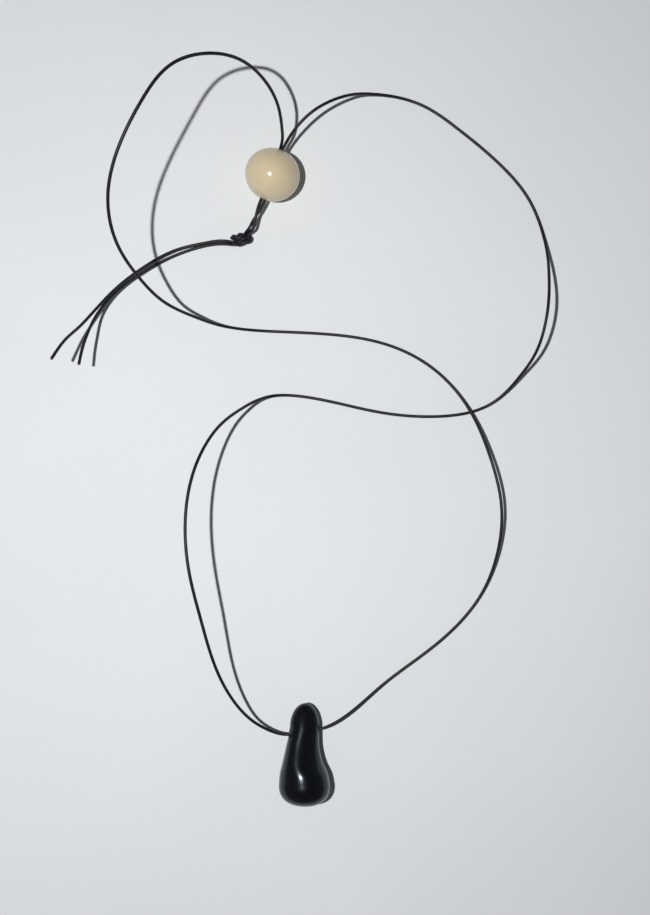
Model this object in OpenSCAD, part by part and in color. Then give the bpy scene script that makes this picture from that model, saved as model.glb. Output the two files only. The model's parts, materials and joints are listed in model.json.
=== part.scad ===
// Pendant necklace: a pear-shaped drop and a round adjuster bead on one knotted cord.
// It lies on the plane z = 0 as it was put down: the drop towards -Y, the bead towards +Y.
// The cord is springy, so some of its curves stand up off the surface as arches.

/* [Pendant] */
// Length of the pear-shaped drop, tip to tip
pendant_length = 31.4; // [28:0.1:36]
// Width across the round bulb
pendant_width = 15.9; // [14:0.1:18]
// Thickness of the bulb, square to its width
pendant_thickness = 14.8; // [14:0.1:17]
// Width across the neck, where the cord goes through
neck_width = 9.2; // [8:0.1:10]
// Thickness of the neck, square to its width
neck_thickness = 8; // [7:0.1:9]
// Diameter of the cross hole for the cord
pendant_bore_d = 1.8; // [1.7:0.1:2.6]
// Angle that the lying drop is pitched up from neck to bulb
pendant_pitch = 7; // [5:0.1:9]

/* [Bead] */
// Diameter of the bead, square to its hole
bead_d = 17.1; // [14:0.1:20]
// Length of the bead along its hole
bead_length = 16.2; // [14:0.1:19]
// Diameter of the bead's hole, which holds two strands side by side
bead_bore_d = 2.8; // [2.8:0.1:4]
// Angle that the hole rises from the knot towards the loop
bead_slope = 10; // [6:0.5:12]

/* [Cord] */
// Diameter of the cord
cord_d = 0.95; // [0.9:0.05:1.1]
// Clear gap between the two strands inside the bead
strand_gap = 0.18; // [0.15:0.01:0.22]
// Length of the knot that stops the bead
knot_length = 6.6; // [6:0.1:8]
// Thickness of the knot
knot_width = 5; // [4.6:0.1:5.4]

/* [Hidden] */
$fn = 64;

cord_r = cord_d / 2;
strand_offset = (cord_d + strand_gap) / 2;
tube_sides = 8;

// Where the drop lies, on its bulb with its neck held up by the cord, and the heading of
// its cross hole in plan
pendant_pos = [4.7, -79.7, 5.55];
pendant_heading = 9;
bore_axis = [cos(pendant_heading), sin(pendant_heading), 0];
// How far the cord stays straight, to each side of the middle of the drop's hole
pendant_straight = 5.8;

// Shape of the drop: distance from the hole towards the neck's tip, side shift, half width,
// half thickness, and how far the crest lies to the left
tip_y = 0.279 * pendant_length;
end_y = tip_y - pendant_length;
bulb_r = pendant_width / 2;
neck_r = neck_width / 2;
bulb_t = pendant_thickness / 2;
neck_t = neck_thickness / 2;

function station(share, shift, width_share, thickness_share, crest) = [
    share * pendant_length,
    shift,
    neck_r + width_share * (bulb_r - neck_r),
    neck_t + thickness_share * (bulb_t - neck_t),
    crest,
];

stations = [
    station(0.045, 0.5, 0, 0, 0.5),
    station(-0.132, -0.05, 0.16, 0.31, 1.2),
    station(-0.284, -0.1, 0.47, 0.65, 1.3),
    station(-0.405, 0.3, 0.85, 0.925, 0.3),
    station(-0.518, 0.5, 1, 1, 0),
];
neck_cap_power = 2;
bulb_cap_power = 2.4;
cap_bow = 0.3;
cap_sweep = 89;
neck_rise = -1.6;
bulb_rise = 0.2;
cap_rings = 9;
span_rings = 5;
pendant_sides = 40;

// Where the bead lies, and the heading of its hole in plan, from the knot to the loop
bead_pos = [-4.7, 93.7, bead_d / 2];
bead_heading = 67.2;
bead_axis = [
    cos(bead_heading) * cos(bead_slope),
    sin(bead_heading) * cos(bead_slope),
    sin(bead_slope),
];
bead_side = [-sin(bead_heading), cos(bead_heading), 0];
bead_up = cross(bead_axis, bead_side);
bead_chamfer = 0.35;
bead_steps = 30;

// Distances from the middle of the bead along its hole: out towards the loop, where the
// strands part, and out towards the knot, where they twist once round each other
part_point = 9.3;
twist_start = 8.6;
twist_end = 19.4;
strand_end = 22;
twist_steps = 4;

knot_pos = [-14.4, 74.6, 2.8];
knot_heading = 10;
knot_sides = 16;
knot_rings = 16;
// How much the turns of cord stand out from the knot, and how many there are
knot_lump = 0.05;
knot_turns = 3;
knot_end_angle = 4;
// Where the tails leave the knot
tail_starts = [[-16.5, 75, 2.2], [-16.5, 73.9, 1.8]];

// Routes of the free cord, in plan and with the height of the cord's underside
right_route = [
    [-1.3, 104.5, 18.3], [-2.3, 109.5, 27.5], [-6.8, 114.7, 37.5], [-16.7, 116, 51],
    [-28.7, 111, 58.5], [-36.6, 99.8, 62.3], [-42.6, 88.4, 61.3], [-46.6, 77, 56],
    [-46.3, 66.3, 47.3], [-42, 58, 36], [-36, 52, 25], [-28.5, 49, 14.5],
    [-19.5, 47, 4.5], [-5.5, 46, 0], [13.5, 45, 0], [33.5, 41, 0],
    [48.5, 32, 0], [57.5, 20.5, 2], [63, 6.5, 6], [66.5, -8.5, 6.5],
    [66, -22.5, 4], [61, -37.5, 0.5], [47, -53, 0.5], [29.5, -66.2, 1],
    [18, -75.2, 3.8],
];
left_route = [
    [2, 106, 12.5], [8, 111.5, 14.5], [16.5, 116.5, 12], [26.5, 120, 4],
    [39, 119, 0], [54, 110, 0], [67, 99, 0], [77, 86.5, 0],
    [81, 74.5, 1.5], [80.5, 62, 11], [79, 50.5, 16.5], [77, 40.5, 14],
    [73, 32, 5.5], [65, 23.5, 0.5], [47, 19, 0], [28, 20.5, 0],
    [9.5, 24.5, 0], [-4.5, 25.5, 1.5], [-14, 21, 11.5], [-21, 14, 23],
    [-26.5, 2, 31], [-28.5, -12, 34.5], [-27.5, -26, 35], [-24.5, -40.5, 31.5],
    [-21, -55.5, 24.5], [-14.5, -70.5, 14], [-6, -79, 6],
];
long_tail_route = [
    [-25, 74, 1.5], [-35.5, 71.5, 1.5], [-45, 66, 3.5], [-53.5, 59, 5.5],
    [-59.5, 52, 8], [-63.5, 46, 13], [-66.5, 40.5, 21.5], [-69, 35, 26],
];
short_tail_route = [
    [-26.5, 73, 0.5], [-37, 69.5, 0.5], [-46.5, 64, 2], [-54.5, 57.5, 4],
    [-59, 51, 7], [-61, 44, 13], [-62, 38.5, 16.5], [-62.5, 34, 18.5],
];

// Cord

function unit(v) = v / norm(v);

// Centreline of a route given by the height of its underside
function centred(route) = [for (p = route) [p.x, p.y, p.z + cord_r]];

// Point beside the bead's axis, at a distance towards the knot and an angle round the axis
function beside_axis(along, angle) =
    bead_pos - along * bead_axis
    + strand_offset * (cos(angle) * bead_side + sin(angle) * bead_up);

// The strand from inside the knot to past the bead, starting half a turn further round
function through_bead(angle) = concat(
    [beside_axis(strand_end, angle + 180)],
    [for (i = [twist_steps:-1:0])
        beside_axis(
            twist_start + (twist_end - twist_start) * i / twist_steps,
            angle + 180 * i / twist_steps
        )],
    [beside_axis(-part_point, angle)]
);

// The strand's straight end inside the drop, from one side of it to the middle
function into_pendant(side) = [
    pendant_pos + side * pendant_straight * bore_axis,
    pendant_pos,
];

function tangent(path, i) =
    i == 0 ? unit(path[1] - path[0])
    : i == len(path) - 1 ? unit(path[i] - path[i - 1])
    : unit(unit(path[i + 1] - path[i]) + unit(path[i] - path[i - 1]));

// One ring of the tube, with a flat at the bottom
function ring(centre, along, sides, radius) =
    let (
        side = unit(cross(along, [0, 0, 1])),
        up = cross(side, along),
        reach = radius / cos(180 / sides)
    )
    [for (k = [0:sides - 1])
        let (angle = (k + 0.5) * 360 / sides)
        centre + reach * (cos(angle) * side + sin(angle) * up)];

function flat_list(lists) = [for (list = lists) for (item = list) item];

// Skin of a stack of rings that all have the same number of points
module skin(rings) {
    sides = len(rings[0]);
    last = len(rings) - 1;
    polyhedron(
        points = flat_list(rings),
        faces = concat(
            [[for (k = [sides - 1:-1:0]) k]],
            [for (i = [0:last - 1]) for (k = [0:sides - 1])
                let (next = (k + 1) % sides)
                [i * sides + k, i * sides + next, (i + 1) * sides + next, (i + 1) * sides + k]],
            [[for (k = [0:sides - 1]) last * sides + k]]
        ),
        convexity = 10
    );
}

module tube(path) {
    skin([for (i = [0:len(path) - 1]) ring(path[i], tangent(path, i), tube_sides, cord_r)]);
}

module right_strand() {
    color("#17181d")
        tube(concat(through_bead(0), centred(right_route), into_pendant(1)));
}

module left_strand() {
    color("#17181d")
        tube(concat(through_bead(180), centred(left_route), into_pendant(-1)));
}

module long_tail() {
    color("#17181d")
        tube(concat([tail_starts[0]], centred(long_tail_route)));
}

module short_tail() {
    color("#17181d")
        tube(concat([tail_starts[1]], centred(short_tail_route)));
}

// Half width of the knot at an angle from 0 at one end to 180 at the other
function knot_half_width(angle) =
    let (turn = 180 * knot_turns * cos(angle))
    knot_width / 2 * sqrt(sin(angle)) * (1 - knot_lump * (1 - cos(turn)));

// Overhand knot tied in both strands together, as one lumpy solid
module knot() {
    heading = [cos(knot_heading), sin(knot_heading), 0];
    color("#17181d")
        skin([for (i = [0:knot_rings])
            let (angle = knot_end_angle + (180 - 2 * knot_end_angle) * i / knot_rings)
            ring(
                knot_pos - knot_length / 2 * cos(angle) * heading,
                heading, knot_sides, knot_half_width(angle)
            )]);
}

// Pendant

// Smooth curve through b and c, with a and d as its outer neighbours
function between(a, b, c, d, t) =
    b + (c - a) * t / 2 + (2 * a - 5 * b + 4 * c - d) * t * t / 2
    + (3 * b - a - 3 * c + d) * t * t * t / 2;

function neighbour(i) = stations[max(0, min(len(stations) - 1, i))];

// Round end from a station out to a tip, at an angle from 0 at the station to 90 at the tip
function cap(from, tip, power, rise, angle) =
    let (
        out = sin(angle),
        narrowing = pow(1 - pow(out, power), 1 / power)
    )
    [
        from[0] + (tip - from[0]) * out,
        from[1] + cap_bow * (1 - cos(angle)),
        from[2] * narrowing,
        from[3] * narrowing + rise * out * (1 - out),
        from[4] * narrowing,
    ];

// Rows of distance, shift, half width, half thickness and crest down the whole drop
pendant_rows = concat(
    [for (i = [cap_rings:-1:1])
        cap(stations[0], tip_y, neck_cap_power, neck_rise, cap_sweep * i / cap_rings)],
    [for (i = [0:len(stations) - 2]) for (k = [0:span_rings - 1])
        between(
            neighbour(i - 1), neighbour(i), neighbour(i + 1), neighbour(i + 2),
            k / span_rings
        )],
    [stations[len(stations) - 1]],
    [for (i = [1:cap_rings])
        cap(
            stations[len(stations) - 1], end_y, bulb_cap_power, bulb_rise,
            cap_sweep * i / cap_rings
        )]
);

// One section of the drop, whose crest and underside lie to the left of its middle
function pendant_section(row) =
    [for (k = [0:pendant_sides - 1])
        let (angle = -360 * (k + 0.5) / pendant_sides)
        [row[1] + row[2] * cos(angle) - row[4] * pow(sin(angle), 2), row[0], row[3] * sin(angle)]];

module pendant() {
    color("#0b0c0f")
        translate(pendant_pos)
            rotate(a = -pendant_pitch, v = bore_axis)
                difference() {
                    skin([for (row = pendant_rows) pendant_section(row)]);
                    rotate([0, 90, pendant_heading])
                        cylinder(d = pendant_bore_d, h = 2 * pendant_width, center = true);
                }
}

// Bead

// Half outline of the bead: flattened round side, chamfered mouths and the hole's wall
module bead_profile() {
    mouth_r = bead_bore_d / 2;
    rim_r = mouth_r + bead_chamfer;
    edge = acos(rim_r / (bead_d / 2));
    rim_z = bead_length / 2 * sin(edge);
    polygon(concat(
        [for (i = [0:bead_steps])
            let (angle = -edge + 2 * edge * i / bead_steps)
            [bead_d / 2 * cos(angle), bead_length / 2 * sin(angle)]],
        [[mouth_r, rim_z - bead_chamfer], [mouth_r, bead_chamfer - rim_z]]
    ));
}

module bead() {
    color("#d8caa0")
        translate(bead_pos)
            rotate([0, 90 - bead_slope, bead_heading])
                rotate_extrude()
                    bead_profile();
}

pendant();
bead();
knot();
right_strand();
left_strand();
long_tail();
short_tail();
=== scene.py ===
"""Pendant necklace lying on a pale surface: a black pear-shaped drop and a cream adjuster
bead on one knotted black cord. Everything is in metres, in the frame of the CAD model."""

import json
from math import acos, cos, pi, radians, sin, tau

import bmesh
import bpy
import numpy as np
from mathutils import Matrix, Vector, noise


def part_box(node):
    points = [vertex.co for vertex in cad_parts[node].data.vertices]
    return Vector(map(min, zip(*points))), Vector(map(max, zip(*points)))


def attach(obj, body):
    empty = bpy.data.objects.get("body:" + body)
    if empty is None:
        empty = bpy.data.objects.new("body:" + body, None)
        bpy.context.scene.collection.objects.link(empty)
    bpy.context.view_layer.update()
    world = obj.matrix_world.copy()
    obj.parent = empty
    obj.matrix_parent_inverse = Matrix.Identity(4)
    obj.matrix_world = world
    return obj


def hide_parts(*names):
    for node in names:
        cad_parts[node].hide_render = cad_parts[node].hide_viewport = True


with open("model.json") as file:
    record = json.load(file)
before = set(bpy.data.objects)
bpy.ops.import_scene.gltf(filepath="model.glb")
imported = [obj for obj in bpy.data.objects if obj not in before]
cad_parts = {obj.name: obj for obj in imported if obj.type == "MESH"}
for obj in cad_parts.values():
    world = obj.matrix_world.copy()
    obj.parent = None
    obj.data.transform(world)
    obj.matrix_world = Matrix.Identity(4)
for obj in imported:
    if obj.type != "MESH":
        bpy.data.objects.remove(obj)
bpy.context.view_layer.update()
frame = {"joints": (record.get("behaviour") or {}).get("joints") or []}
scene = bpy.context.scene

MM = 0.001
UP = Vector((0, 0, 1))
joints = {joint["name"]: joint for joint in frame["joints"]}


def middle_of(node):
    low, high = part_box(node)
    return (low + high) / 2


# ---------------------------------------------------------------- camera

CAMERA_PLACE = (0.0116, 0.006, 0.363)
CAMERA_LENS = 44.97
CAMERA_SENSOR = 36

camera_data = bpy.data.cameras.new("camera")
camera_data.sensor_width = CAMERA_SENSOR
camera_data.lens = CAMERA_LENS
camera = bpy.data.objects.new("camera", camera_data)
camera.location = CAMERA_PLACE
scene.collection.objects.link(camera)
scene.camera = camera

# ---------------------------------------------------------------- the cord's route

CORD_D = 0.95 * MM
CORD_R = CORD_D / 2
STRAND_OFFSET = 0.5 * MM

# The drop: middle of its cross hole, and the hole's direction
drop_middle = Vector(joints["pendant_swing"]["pos_m"])
hole_axis = -Vector(joints["pendant_swing"]["axis"]).normalized()
DROP_STRAIGHT = 5.8 * MM

# The bead: its middle, and its own axes
bead_middle = middle_of("bead")
bead_axis = -Vector(joints["bead_slide"]["axis"]).normalized()
bead_side = UP.cross(bead_axis).normalized()
bead_up = bead_axis.cross(bead_side)

# Distances along the bead's hole, from its middle towards the knot
PART_POINT = -9.3 * MM
TWIST_START = 8.6 * MM
TWIST_END = 18 * MM
TWIST_STEPS = 4
# How far the pair leans aside in the hole's upper mouth, and spreads and bends at the knot
PART_LEAN = 0.3 * MM
TWIST_SPREAD = 0.05 * MM
TWIST_BEND = 0.15 * MM

# Routes of the free cord: plan, and height of the cord's underside, in millimetres
RIGHT_ROUTE = (
    (-1.3, 104.5, 18.3), (-2.3, 109.5, 27.5), (-6.8, 114.7, 37.5), (-16.7, 116, 51),
    (-28.7, 111, 58.5), (-36.6, 99.8, 62.3), (-42.6, 88.4, 61.3), (-46.6, 77, 56),
    (-46.3, 66.3, 47.3), (-42, 58, 36), (-36, 52, 25), (-28.5, 49, 14.5),
    (-19.5, 47, 4.5), (-5.5, 46, 0), (13.5, 45, 0), (33.5, 41, 0),
    (48.5, 32, 0), (57.5, 20.5, 2), (63, 6.5, 6), (66.5, -8.5, 6.5),
    (66, -22.5, 4), (61, -37.5, 0.5), (47, -53, 0.5), (29.5, -66.2, 1),
    (18, -75.2, 3.8),
)
LEFT_ROUTE = (
    (2, 106, 12.5), (8, 111.5, 14.5), (16.5, 116.5, 12), (26.5, 120, 4),
    (39, 119, 0), (54, 110, 0), (67, 99, 0), (77, 86.5, 0),
    (81, 74.5, 1.5), (80.5, 62, 11), (79, 50.5, 16.5), (77, 40.5, 14),
    (73, 32, 5.5), (65, 23.5, 0.5), (47, 19, 0), (28, 20.5, 0),
    (9.5, 24.5, 0), (-4.5, 25.5, 1.5), (-14, 21, 11.5), (-21, 14, 23),
    (-26.5, 2, 31), (-28.5, -12, 34.5), (-27.5, -26, 35), (-24.5, -40.5, 31.5),
    (-21, -55.5, 24.5), (-14.5, -70.5, 14), (-6, -79, 6),
)
LONG_TAIL_ROUTE = (
    (-25, 74, 1.5), (-35.5, 71.5, 1.5), (-45, 66, 3.5), (-53.5, 59, 5.5),
    (-59.5, 52, 8), (-63.5, 46, 13), (-66.5, 40.5, 21.5), (-69, 35, 26),
)
SHORT_TAIL_ROUTE = (
    (-26.5, 73, 0.5), (-37, 69.5, 0.5), (-46.5, 64, 2), (-54.5, 57.5, 4),
    (-59, 51, 7), (-61, 44, 13), (-62, 38.5, 16.5), (-62.5, 34, 18.5),
)

# The overhand knot: a trefoil wound on a small ring, opened at one side
KNOT_RING = 1.64 * MM
KNOT_WINDING = 0.85 * MM
KNOT_PAIR = 0.5
KNOT_TURN = radians(90)
KNOT_TILT = radians(118)
KNOT_STRETCH = 1.22
KNOT_OVERLAP = radians(31)
KNOT_LIFT = -0.9 * MM
KNOT_LIFT_FADE = radians(83)
KNOT_POINTS = 44
KNOT_SHIFT = Vector((-0.45, 0.4, 0)) * MM
knot_middle = middle_of("knot") + KNOT_SHIFT

# Where each tail comes clear of the knot, as height of the cord's middle
LONG_TAIL_START = (-19.5, 74.3, 2.3)
SHORT_TAIL_START = (-19.5, 73.45, 1.8)


def centred(route):
    """A route's points as places of the cord's middle."""
    return [Vector((x, y, z)) * MM + CORD_R * UP for x, y, z in route]


def beside_hole(along, angle, offset=STRAND_OFFSET):
    """A point beside the bead's hole axis, at an angle round it."""
    around = cos(angle) * bead_side + sin(angle) * bead_up
    return bead_middle - along * bead_axis + offset * around


def through_bead(angle):
    """From where the strands part to the knot, with half a turn on the way."""
    points = [beside_hole(PART_POINT, angle) + PART_LEAN * bead_side]
    for i in range(TWIST_STEPS + 1):
        share = i / TWIST_STEPS
        along = TWIST_START + (TWIST_END - TWIST_START) * share
        apart = STRAND_OFFSET + TWIST_SPREAD * share
        bend = TWIST_BEND * share**2 * bead_side
        points.append(beside_hole(along, angle + pi * share, apart) + bend)
    return points


def through_knot(pair_side):
    """One strand of the pair through the knot, its two ends moved apart across the knot."""
    tilt = Matrix.Rotation(KNOT_TILT, 3, "X")
    points = []
    for i in range(KNOT_POINTS + 1):
        phi = -KNOT_OVERLAP + (tau + 2 * KNOT_OVERLAP) * i / KNOT_POINTS
        winding = 3 * phi + pair_side * KNOT_PAIR
        heading = KNOT_TURN + 2 * phi
        from_start, from_end = phi + KNOT_OVERLAP, tau + KNOT_OVERLAP - phi
        lift = max(0, 1 - from_start / KNOT_LIFT_FADE)
        lift -= max(0, 1 - from_end / KNOT_LIFT_FADE)
        out = KNOT_RING + KNOT_WINDING * cos(winding)
        local = Vector((
            KNOT_STRETCH * out * cos(heading),
            out * sin(heading),
            KNOT_WINDING * sin(winding) + KNOT_LIFT * lift,
        ))
        points.append(knot_middle + tilt @ local)
    return points


RING_STEP = 0.35 * MM
SPAN_STEPS = 24


def smooth(points, step):
    """Even points on a natural cubic spline through the given ones, none below the surface,
    and each given point's place among them."""
    p = np.array([tuple(q) for q in points])
    h = np.linalg.norm(np.diff(p, axis=0), axis=1)
    n = len(p)
    matrix, right = np.zeros((n, n)), np.zeros((n, 3))
    matrix[0, 0] = matrix[-1, -1] = 1
    for i in range(1, n - 1):
        matrix[i, i - 1 : i + 2] = h[i - 1], 2 * (h[i - 1] + h[i]), h[i]
        right[i] = 6 * ((p[i + 1] - p[i]) / h[i] - (p[i] - p[i - 1]) / h[i - 1])
    m = np.linalg.solve(matrix, right)
    fine, corner = [], []
    for i in range(n - 1):
        corner.append(len(fine))
        for k in range(SPAN_STEPS):
            a, b = 1 - k / SPAN_STEPS, k / SPAN_STEPS
            bend = (a**3 - a) * m[i] + (b**3 - b) * m[i + 1]
            fine.append(a * p[i] + b * p[i + 1] + bend * h[i] ** 2 / 6)
    corner.append(len(fine))
    fine.append(p[-1])
    fine = np.array(fine)
    steps = np.linalg.norm(np.diff(fine, axis=0), axis=1)
    run = np.concatenate([[0], np.cumsum(steps)])
    count = round(run[-1] / step)
    even = np.linspace(0, run[-1], count + 1)
    line = np.stack([np.interp(even, run, fine[:, k]) for k in range(3)], axis=1)
    line[:, 2] = np.maximum(line[:, 2], CORD_R)
    places = [round(run[c] / run[-1] * count) for c in corner]
    return [Vector(q) for q in line], places


def framed(line):
    """Each point of a line with its side and up directions, turning as little as they can."""
    side = (line[1] - line[0]).cross(UP).normalized()
    sections = []
    for i, centre in enumerate(line):
        before, after = line[max(i - 1, 0)], line[min(i + 1, len(line) - 1)]
        ahead = (after - before).normalized()
        side = (side - side.dot(ahead) * ahead).normalized()
        sections.append((centre, side, ahead.cross(side)))
    return sections


def whole_cord(side, angle, route, pair_side, tail_start, tail_route):
    """One half of the cord from the drop to its cut end, in three pieces that share rings."""
    into_drop = [drop_middle, drop_middle + side * DROP_STRAIGHT * hole_axis]
    strand = into_drop + centred(route)[::-1] + through_bead(angle)
    knot = through_knot(pair_side)
    tail = [Vector(tail_start) * MM] + centred(tail_route)
    line, places = smooth(strand + knot + tail, RING_STEP)
    enter, leave = places[len(strand)], places[len(strand) + len(knot) - 1]
    sections = framed(line)
    return sections[: enter + 1], sections[enter : leave + 1], sections[leave:]


right_line, right_knot_line, long_tail_line = whole_cord(
    1, 0, RIGHT_ROUTE, 1, LONG_TAIL_START, LONG_TAIL_ROUTE
)
left_line, left_knot_line, short_tail_line = whole_cord(
    -1, pi, LEFT_ROUTE, -1, SHORT_TAIL_START, SHORT_TAIL_ROUTE
)


# ---------------------------------------------------------------- mesh helpers


def add_object(name, bm, body, materials):
    mesh = bpy.data.meshes.new(name)
    bm.to_mesh(mesh)
    bm.free()
    for material in materials:
        mesh.materials.append(material)
    for polygon in mesh.polygons:
        polygon.use_smooth = True
    obj = bpy.data.objects.new(name, mesh)
    scene.collection.objects.link(obj)
    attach(obj, body)
    return obj


def add_ring(bm, centre, side, up, radius, count):
    ring = []
    for k in range(count):
        angle = tau * k / count
        ring.append(bm.verts.new(centre + radius * (cos(angle) * side + sin(angle) * up)))
    return ring


def bridge(bm, first, second, material=0):
    count = len(first)
    for k in range(count):
        after = (k + 1) % count
        face = bm.faces.new((first[k], first[after], second[after], second[k]))
        face.material_index = material


CORD_SIDES = 16
CORD_WAVER = 0.018
WAVER_SIZE = 4 * MM


def add_tube(bm, sections, cut):
    """A round cord along its sections. A cut cord shows its core at the last one."""
    rings = []
    for centre, side, up in sections:
        radius = CORD_R * (1 + CORD_WAVER * noise.noise(centre / WAVER_SIZE))
        rings.append(add_ring(bm, centre, side, up, radius, CORD_SIDES))
    for first, second in zip(rings, rings[1:]):
        bridge(bm, first, second)
    if cut:
        cut_end(bm, rings[-1], sections[-1])
    bmesh.ops.recalc_face_normals(bm, faces=bm.faces)


# As shares of the cord's radius
CUT_RIM, CUT_CORE = 0.9, 0.7
CUT_BULGE = 0.1


def cut_end(bm, ring, section):
    """The end that a knife left: a slightly rolled rim round the paler core."""
    centre, side, up = section
    face_middle = centre + CUT_BULGE * CORD_R * side.cross(up)
    rim = [bm.verts.new(face_middle + (v.co - centre) * CUT_RIM) for v in ring]
    core = [bm.verts.new(face_middle + (v.co - centre) * CUT_CORE) for v in ring]
    bridge(bm, ring, rim)
    bridge(bm, rim, core, 1)
    bm.faces.new(core).material_index = 1


# ---------------------------------------------------------------- materials


class Shader:
    """A short way to build a node material."""

    def __init__(self, name):
        self.material = bpy.data.materials.new(name)
        self.material.use_nodes = True
        self.tree = self.material.node_tree
        self.surface = self.tree.nodes["Principled BSDF"]

    def node(self, kind, inputs):
        made = self.tree.nodes.new(kind)
        for key, value in inputs.items():
            self.give(made, key, value)
        return made

    def give(self, node, key, value):
        if isinstance(value, bpy.types.NodeSocket):
            self.tree.links.new(value, node.inputs[key])
        else:
            node.inputs[key].default_value = value

    def noise(self, scale, detail, roughness=0.5):
        vector = self.node("ShaderNodeTexCoord", {}).outputs["Object"]
        inputs = {"Vector": vector, "Scale": scale, "Detail": detail, "Roughness": roughness}
        return self.node("ShaderNodeTexNoise", inputs).outputs["Fac"]

    def ramp(self, factor, first, last):
        made = self.node("ShaderNodeValToRGB", {"Fac": factor})
        for element, (place, colour) in zip(made.color_ramp.elements, (first, last)):
            element.position = place
            element.color = (*colour, 1)
        return made.outputs["Color"]

    def bump(self, height, distance, strength=1.0, normal=None):
        inputs = {"Height": height, "Distance": distance, "Strength": strength}
        made = self.node("ShaderNodeBump", inputs)
        if normal:
            self.give(made, "Normal", normal)
        return made.outputs["Normal"]

    def map(self, factor, low, high):
        inputs = {"Value": factor, "To Min": low, "To Max": high}
        return self.node("ShaderNodeMapRange", inputs).outputs["Result"]

    def set(self, **inputs):
        for key, value in inputs.items():
            self.give(self.surface, key.replace("_", " "), value)


def cord_material():
    """Smooth round cord: black with a faint blue tinge and a fine grain."""
    shader = Shader("cord_black")
    patches = shader.noise(220, 4)
    grain = shader.noise(2600, 3, 0.6)
    shader.set(
        Base_Color=shader.ramp(
            patches, (0.3, (0.0045, 0.0045, 0.0075)), (0.72, (0.0095, 0.009, 0.0145))
        ),
        Roughness=shader.map(grain, 0.4, 0.55),
        Normal=shader.bump(grain, 0.02 * MM, 0.5),
        Specular_IOR_Level=0.3,
    )
    return shader.material


def core_material():
    """The cord's undyed inside, seen only at the cut ends."""
    shader = Shader("cord_core")
    fibres = shader.noise(4000, 3)
    shader.set(
        Base_Color=shader.ramp(
            fibres, (0.3, (0.16, 0.09, 0.07)), (0.7, (0.42, 0.27, 0.2))
        ),
        Roughness=0.85,
        Normal=shader.bump(fibres, 0.05 * MM),
    )
    return shader.material


def glaze_material():
    """Deep black gloss with the slight unevenness of a fired glaze."""
    shader = Shader("drop_glaze")
    cloud = shader.noise(120, 3)
    wave = shader.noise(85, 2)
    pits = shader.noise(1500, 2)
    smooth_wave = shader.bump(wave, 0.05 * MM, 0.3)
    shader.set(
        Base_Color=shader.ramp(
            cloud, (0.3, (0.0025, 0.0027, 0.003)), (0.75, (0.0045, 0.0042, 0.0055))
        ),
        Roughness=shader.map(pits, 0.17, 0.22),
        Normal=shader.bump(pits, 0.003 * MM, 0.4, smooth_wave),
        Specular_IOR_Level=0.4,
        Specular_Tint=(0.75, 0.9, 1, 1),
    )
    return shader.material


def bead_material():
    """Cream gloss, slightly translucent, with faint clouding."""
    shader = Shader("bead_cream")
    cloud = shader.noise(90, 4)
    specks = shader.noise(900, 3)
    wave = shader.noise(110, 2)
    shader.set(
        Base_Color=shader.ramp(
            cloud, (0.3, (0.575, 0.48, 0.31)), (0.72, (0.64, 0.545, 0.365))
        ),
        Roughness=shader.map(specks, 0.13, 0.19),
        Normal=shader.bump(wave, 0.08 * MM, 0.25),
        Specular_IOR_Level=0.5,
        Subsurface_Weight=0.25,
        Subsurface_Radius=(1.0, 0.7, 0.4),
        Subsurface_Scale=1.2 * MM,
        Coat_Weight=0.15,
        Coat_Roughness=0.08,
    )
    return shader.material


def paper_material():
    """Matt white sheet with a hint of tooth."""
    shader = Shader("surface_paper")
    cloud = shader.noise(14, 3)
    tooth = shader.noise(1400, 4)
    shader.set(
        Base_Color=shader.ramp(
            cloud, (0.3, (0.72, 0.735, 0.745)), (0.7, (0.74, 0.755, 0.765))
        ),
        Roughness=0.9,
        Normal=shader.bump(tooth, 0.03 * MM, 0.25),
        Specular_IOR_Level=0.2,
    )
    return shader.material


cord_black = cord_material()
cord_core = core_material()
drop_glaze = glaze_material()
bead_cream = bead_material()

# ---------------------------------------------------------------- cord pieces


def add_cord(name, node, sections, cut):
    bm = bmesh.new()
    add_tube(bm, sections, cut)
    made = add_object(name, bm, "cord", (cord_black, cord_core))
    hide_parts(node)
    return made


right_strand = add_cord("cord_right", "right_strand", right_line, False)
left_strand = add_cord("cord_left", "left_strand", left_line, False)
long_tail = add_cord("cord_tail_long", "long_tail", long_tail_line, True)
short_tail = add_cord("cord_tail_short", "short_tail", short_tail_line, True)

knot_mesh = bmesh.new()
add_tube(knot_mesh, right_knot_line, False)
add_tube(knot_mesh, left_knot_line, False)
knot = add_object("overhand_knot", knot_mesh, "cord", (cord_black,))
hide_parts("knot")

# ---------------------------------------------------------------- drop

DROP_LENGTH = 31.4 * MM
DROP_PITCH = radians(7)
BULB_R, BULB_T = 7.95 * MM, 7.4 * MM
NECK_R, NECK_T = 4.6 * MM, 4 * MM
NECK_TIP = 0.279 * DROP_LENGTH
BULB_TIP = NECK_TIP - DROP_LENGTH
CAP_BOW = 0.3 * MM
CAP_SWEEP = radians(89)
NECK_RISE, BULB_RISE = -1.6 * MM, 0.2 * MM
NECK_POWER = 2
BULB_POWER = 2.4
DROP_SIDES = 96
CAP_ROWS = 18
SPAN_ROWS = 10


def station(share, shift, width_share, thickness_share, crest):
    """Distance from the hole, side shift, half width, half thickness and the crest's lean."""
    return np.array((
        share * DROP_LENGTH,
        shift * MM,
        NECK_R + width_share * (BULB_R - NECK_R),
        NECK_T + thickness_share * (BULB_T - NECK_T),
        crest * MM,
    ))


STATIONS = (
    station(0.045, 0.5, 0, 0, 0.5),
    station(-0.132, -0.05, 0.16, 0.31, 1.2),
    station(-0.284, -0.1, 0.47, 0.65, 1.3),
    station(-0.405, 0.3, 0.85, 0.925, 0.3),
    station(-0.518, 0.5, 1, 1, 0),
)


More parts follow.
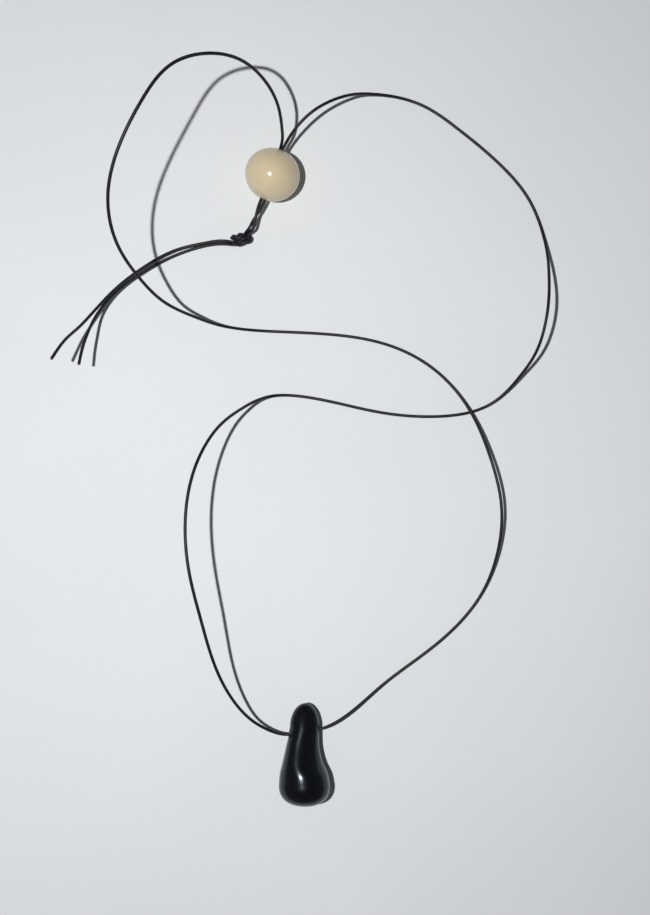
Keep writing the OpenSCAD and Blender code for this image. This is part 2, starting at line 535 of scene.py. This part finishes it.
def between(a, b, c, d, t):
    """The smooth curve through four stations, from the second to the third."""
    return (
        b
        + (c - a) * t / 2
        + (2 * a - 5 * b + 4 * c - d) * t * t / 2
        + (3 * b - a - 3 * c + d) * t**3 / 2
    )


def cap_row(start, tip, power, rise, angle):
    """A section of a rounded end, from its station towards its tip."""
    along, shift, half, thick, crest = start
    out = sin(angle)
    narrowing = (1 - out**power) ** (1 / power)
    return (
        along + (tip - along) * out,
        shift + CAP_BOW * (1 - cos(angle)),
        half * narrowing,
        thick * narrowing + rise * out * (1 - out),
        crest * narrowing,
    )


def drop_rows():
    """Every section of the drop, from the neck's end to the bulb's."""
    last = len(STATIONS) - 1
    rows = [
        cap_row(STATIONS[0], NECK_TIP, NECK_POWER, NECK_RISE, CAP_SWEEP * i / CAP_ROWS)
        for i in range(CAP_ROWS, 0, -1)
    ]
    for i in range(last):
        around = [STATIONS[max(0, min(last, i + k))] for k in (-1, 0, 1, 2)]
        rows += [between(*around, k / SPAN_ROWS) for k in range(SPAN_ROWS)]
    rows.append(STATIONS[last])
    rows += [
        cap_row(STATIONS[last], BULB_TIP, BULB_POWER, BULB_RISE, CAP_SWEEP * i / CAP_ROWS)
        for i in range(1, CAP_ROWS + 1)
    ]
    return rows


def drop_section(bm, row):
    along, shift, half, thick, crest = row
    ring = []
    for k in range(DROP_SIDES):
        angle = tau * k / DROP_SIDES
        across = shift + half * cos(angle) - crest * sin(angle) ** 2
        ring.append(bm.verts.new((across, along, thick * sin(angle))))
    return ring


def drop_body():
    bm = bmesh.new()
    rings = [drop_section(bm, row) for row in drop_rows()]
    for first, second in zip(rings, rings[1:]):
        bridge(bm, first, second)
    for ring, tip, shift in (
        (rings[0], NECK_TIP, STATIONS[0][1]),
        (rings[-1], BULB_TIP, STATIONS[-1][1]),
    ):
        peak = bm.verts.new((shift + CAP_BOW, tip, 0))
        for k in range(DROP_SIDES):
            bm.faces.new((ring[k], ring[(k + 1) % DROP_SIDES], peak))
    bmesh.ops.recalc_face_normals(bm, faces=bm.faces)
    pitch = Matrix.Rotation(-DROP_PITCH, 4, hole_axis)
    bm.transform(Matrix.Translation(drop_middle) @ pitch)
    return bm


HOLE_R = 0.9 * MM
HOLE_SIDES = 48
MOUTH_ROLL = 0.85 * MM
MOUTH_STEPS = 6
# The share of the roll outside the mouth, and how far the cutter runs on and widens past it
MOUTH_PROUD = 0.5
CUTTER_RUN = 2 * MM
CUTTER_FLARE = 4 * MOUTH_ROLL
# Distances from the middle of the hole to its left and right mouths
LEFT_MOUTH, RIGHT_MOUTH = -4.35 * MM, 5.05 * MM
SHARP_EDGE = radians(40)


def hole_cutter():
    """The cross hole, flaring smoothly at each mouth."""
    bm = bmesh.new()
    side = hole_axis.cross(UP).normalized()
    up = side.cross(hole_axis)

    def flare(mouth, outwards):
        rows = [(mouth + outwards * CUTTER_RUN, HOLE_R + CUTTER_FLARE)]
        for i in range(MOUTH_STEPS + 1):
            turn = pi / 2 * i / MOUTH_STEPS
            along = mouth + outwards * MOUTH_ROLL * (MOUTH_PROUD - sin(turn))
            rows.append((along, HOLE_R + MOUTH_ROLL * (1 - sin(turn))))
        return rows

    rows = flare(LEFT_MOUTH, -1) + flare(RIGHT_MOUTH, 1)[::-1]
    rings = [
        add_ring(bm, drop_middle + along * hole_axis, side, up, radius, HOLE_SIDES)
        for along, radius in rows
    ]
    for first, second in zip(rings, rings[1:]):
        bridge(bm, first, second)
    bm.faces.new(rings[0])
    bm.faces.new(rings[-1])
    bmesh.ops.recalc_face_normals(bm, faces=bm.faces)
    return bm


def cut_hole(obj):
    mesh = bpy.data.meshes.new("cutter")
    bm = hole_cutter()
    bm.to_mesh(mesh)
    bm.free()
    cutter = bpy.data.objects.new("cutter", mesh)
    scene.collection.objects.link(cutter)
    modifier = obj.modifiers.new("hole", "BOOLEAN")
    modifier.operation = "DIFFERENCE"
    modifier.solver = "EXACT"
    modifier.object = cutter
    graph = bpy.context.evaluated_depsgraph_get()
    cut = bpy.data.meshes.new_from_object(obj.evaluated_get(graph))
    obj.modifiers.clear()
    obj.data = cut
    bpy.data.objects.remove(cutter)
    for polygon in cut.polygons:
        polygon.use_smooth = True
    cut.set_sharp_from_angle(angle=SHARP_EDGE)


drop = add_object("glazed_drop", drop_body(), "pendant", (drop_glaze,))
cut_hole(drop)
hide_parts("pendant")

# ---------------------------------------------------------------- bead

BEAD_R = 8.55 * MM
BEAD_HALF = 8.1 * MM
BORE_R = 1.4 * MM
RIM_ROLL = 0.35 * MM
BEAD_SIDES = 128
BEAD_ROWS = 64
RIM_ROWS = 6


def bead_rows():
    """Radius and distance along the hole: round side, rolled rims and the hole's wall."""
    edge = acos((BORE_R + RIM_ROLL) / BEAD_R)
    rim = BEAD_HALF * sin(edge)
    outside, roll = [], []
    for i in range(BEAD_ROWS + 1):
        angle = -edge + 2 * edge * i / BEAD_ROWS
        outside.append((BEAD_R * cos(angle), BEAD_HALF * sin(angle)))
    for i in range(1, RIM_ROWS + 1):
        turn = pi / 2 * i / RIM_ROWS
        radius = BORE_R + RIM_ROLL * (1 - sin(turn))
        roll.append((radius, rim - RIM_ROLL * (1 - cos(turn))))
    return outside + roll + [(radius, -along) for radius, along in reversed(roll)]


def bead_body():
    bm = bmesh.new()
    rings = [
        add_ring(bm, bead_middle + along * bead_axis, bead_side, bead_up, radius, BEAD_SIDES)
        for radius, along in bead_rows()
    ]
    for first, second in zip(rings, rings[1:] + rings[:1]):
        bridge(bm, first, second)
    bmesh.ops.recalc_face_normals(bm, faces=bm.faces)
    return bm


bead = add_object("adjuster_bead", bead_body(), "bead", (bead_cream,))
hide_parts("bead")

# ---------------------------------------------------------------- surface and light

SHEET_SIZE = 4
SHEET_CELLS = 8

sheet_mesh = bmesh.new()
bmesh.ops.create_grid(
    sheet_mesh, x_segments=SHEET_CELLS, y_segments=SHEET_CELLS, size=SHEET_SIZE / 2
)
sheet_data = bpy.data.meshes.new("surface")
sheet_mesh.to_mesh(sheet_data)
sheet_mesh.free()
sheet_data.materials.append(paper_material())
sheet = bpy.data.objects.new("surface", sheet_data)
scene.collection.objects.link(sheet)

# One small lamp beside the camera, aimed at the origin
KEY_PLACE = Vector((-0.0757, 0.0083, 0.452))
KEY_SIZE = 0.008
KEY_POWER = 2.05

key_data = bpy.data.lights.new("key", "AREA")
key_data.shape = "DISK"
key_data.size = KEY_SIZE
key_data.energy = KEY_POWER
key = bpy.data.objects.new("key", key_data)
key.location = KEY_PLACE
key.rotation_euler = (-KEY_PLACE).to_track_quat("-Z", "Y").to_euler()
scene.collection.objects.link(key)

# The world's colours, each with its place on the ramp
WORLD_SIDES = (0.35, (0.13, 0.14, 0.16, 1))
WORLD_OVERHEAD = (0.85, (0.06, 0.066, 0.075, 1))


def make_world():
    """Dim overhead and brighter round the sides, like a studio's white walls."""
    world = bpy.data.worlds.new("world")
    world.use_nodes = True
    tree = world.node_tree
    place = tree.nodes.new("ShaderNodeTexCoord")
    split = tree.nodes.new("ShaderNodeSeparateXYZ")
    ramp = tree.nodes.new("ShaderNodeValToRGB")
    tree.links.new(place.outputs["Generated"], split.inputs["Vector"])
    tree.links.new(split.outputs["Z"], ramp.inputs["Fac"])
    tree.links.new(ramp.outputs["Color"], tree.nodes["Background"].inputs["Color"])
    for element, stop in zip(ramp.color_ramp.elements, (WORLD_SIDES, WORLD_OVERHEAD)):
        element.position, element.color = stop
    return world


scene.world = make_world()
scene.view_settings.view_transform = "Standard"
